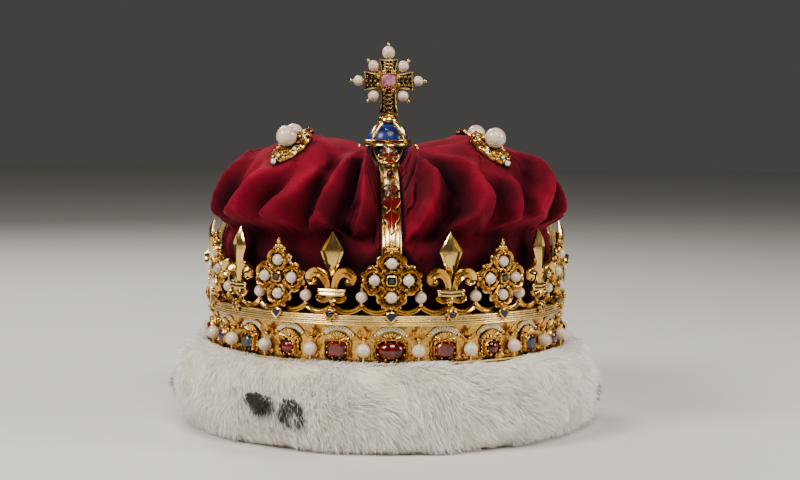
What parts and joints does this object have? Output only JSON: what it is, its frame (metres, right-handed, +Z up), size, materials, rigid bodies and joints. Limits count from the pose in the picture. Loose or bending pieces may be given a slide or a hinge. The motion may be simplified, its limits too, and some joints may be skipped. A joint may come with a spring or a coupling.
{
  "type": "state crown with velvet cap",
  "caption": "Jewelled gold crown with lily and flower-cross cresting, four arches, a blue monde, a turning cross, and a lift-out velvet cap with an ermine roll.",
  "frame": {"origin": "bottom centre, where the ermine roll stands", "axes": "+Z up through the monde and cross, -Y to the front stone, +X to the crown's left as worn from behind"},
  "size_m": [0.238, 0.238, 0.214],
  "materials": {
    "gold": "polished and engraved gold",
    "ermine": "long soft white fur with dark tails",
    "velvet": "deep crimson silk velvet",
    "silk": "plain red silk",
    "pearl": "lustrous pearl",
    "garnet": "polished dark red stone",
    "amethyst": "polished violet stone",
    "dark_stone": "polished dark stone",
    "pink_stone": "polished pink stone",
    "white_enamel": "white enamel with black ticks",
    "blue_enamel": "deep blue enamel with gold stars",
    "red_enamel": "red enamel edged with gold",
    "black_enamel": "black enamel with gold scrollwork"
  },
  "bodies": {
    "cap": {"brooch_pearls": "pearl", "brooch_plate_1": "gold", "brooch_plate_2": "gold", "brooch_plate_3": "gold", "brooch_plate_4": "gold", "ermine_band": "ermine", "silk_lining": "silk", "velvet_bonnet": "velvet"},
    "frame": {"amethysts": "amethyst", "arch_back": "gold", "arch_front": "gold", "arch_hub": "gold", "arch_left": "gold", "arch_right": "gold", "base_studs": "gold", "bottom_rim": "gold", "circlet_band": "gold", "circlet_pearls": "pearl", "cresting_gems": "dark_stone", "cresting_pearls": "pearl", "enamel_arcs": "white_enamel", "fleur_de_lis_01": "gold", "fleur_de_lis_02": "gold", "fleur_de_lis_03": "gold", "fleur_de_lis_04": "gold", "fleur_de_lis_05": "gold", "fleur_de_lis_06": "gold", "fleur_de_lis_07": "gold", "fleur_de_lis_08": "gold", "fleur_de_lis_09": "gold", "fleur_de_lis_10": "gold", "flower_cross_01": "gold", "flower_cross_02": "gold", "flower_cross_03": "gold", "flower_cross_04": "gold", "flower_cross_05": "gold", "flower_cross_06": "gold", "flower_cross_07": "gold", "flower_cross_08": "gold", "flower_cross_09": "gold", "flower_cross_10": "gold", "flower_pearls": "pearl", "garnets": "garnet", "gem_collets": "gold", "leaf_sprays": "gold", "lozenge_enamels": "blue_enamel", "monde_bands": "gold", "monde_cap": "gold", "monde_globe": "blue_enamel", "oak_leaves": "red_enamel", "pearl_pins": "gold", "ribbed_moulding": "gold", "rock_crystals": "dark_stone", "scallop_gallery": "gold"},
    "cross": {"cross_body": "black_enamel", "cross_collets": "gold", "cross_gems": "pink_stone", "cross_pearls": "pearl", "cross_pins": "gold"}
  },
  "joints": [
    {"name": "frame_lift", "type": "slide", "parent": "cap", "child": "frame", "axis": [0, 0, 1], "range_m": [0, 0.15], "deforming": ["velvet_bonnet"]},
    {"name": "cross_turn", "type": "hinge", "parent": "frame", "child": "cross", "pos_m": [0, 0, 0.1733], "axis": [0, 0, 1], "continuous": true}
  ]
}
